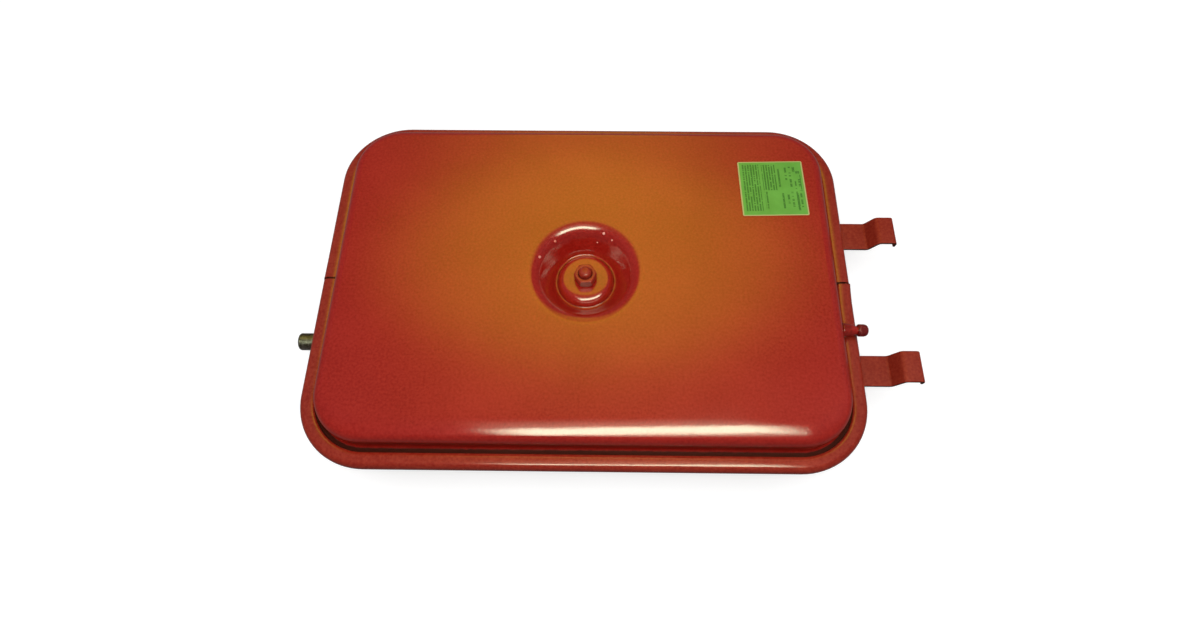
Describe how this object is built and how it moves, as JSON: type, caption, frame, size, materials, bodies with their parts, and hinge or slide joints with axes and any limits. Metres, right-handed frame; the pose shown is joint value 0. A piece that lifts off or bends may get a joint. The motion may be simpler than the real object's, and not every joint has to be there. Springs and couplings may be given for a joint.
{
  "type": "expansion vessel",
  "caption": "Flat rectangular pressed-steel boiler expansion vessel with a crimped rim, centre tie dish, threaded water stub, air valve and hanging brackets.",
  "frame": {"origin": "centre of the bounding box in plan, on the plane the back pan rests on", "axes": "+X along the long side towards the hanging brackets and air valve, +Y across the short side, +Z out of the gas-side front pan"},
  "size_m": [0.5848, 0.362, 0.075],
  "materials": {
    "red_paint": "glossy orange-red baked enamel over pressed steel",
    "red_plastic": "dark red moulded plastic, slightly glossy",
    "epdm_rubber": "matt black moulded EPDM",
    "seal_rubber": "satin black rubber",
    "fibre_washer": "dull red-brown vulcanised fibre",
    "plain_steel": "plain machined steel",
    "zinc_plate": "dulled zinc-plated steel",
    "brass": "machined brass",
    "label_paper": "printed green adhesive label, semi-gloss"
  },
  "bodies": {
    "vessel": {"front_shell": "red_paint", "back_shell": "red_paint", "clamp_ring_far": "red_paint", "clamp_ring_near": "red_paint", "bracket_far": "red_paint", "bracket_near": "red_paint", "tie_stud": "red_paint", "tie_nut_front": "red_paint", "tie_nut_back": "red_paint", "valve_stem": "red_paint", "diaphragm": "epdm_rubber", "water_stub": "zinc_plate", "tie_spacer": "plain_steel", "tie_seal_front": "fibre_washer", "tie_seal_back": "fibre_washer", "valve_core_barrel": "brass", "valve_core_gasket": "seal_rubber", "rating_label": "label_paper"},
    "cap_travel": {"dust_cap_gasket": "seal_rubber"},
    "dust_cap": {"valve_dust_cap": "red_plastic"},
    "valve_pin": {"valve_core_pin": "brass", "valve_core_spring": "plain_steel", "valve_seat_seal": "seal_rubber"}
  },
  "joints": [
    {"name": "cap_unscrew_travel", "type": "slide", "parent": "vessel", "child": "cap_travel", "axis": [1, 0, 0], "range_m": [0, 0.0096]},
    {"name": "cap_unscrew_turn", "type": "hinge", "parent": "cap_travel", "child": "dust_cap", "pos_m": [0.23917, -0.0524, 0.06], "axis": [1, 0, 0], "range_deg": [0, 4360]},
    {"name": "valve_pin_push", "type": "slide", "parent": "vessel", "child": "valve_pin", "axis": [-1, 0, 0], "range_m": [0, 0.0011], "stiffness_N_per_m": 1500, "springref_m": -0.001}
  ],
  "couplings": [
    {"joint": "cap_unscrew_turn", "follows": "cap_unscrew_travel", "rad_per_m": 7913.3}
  ]
}
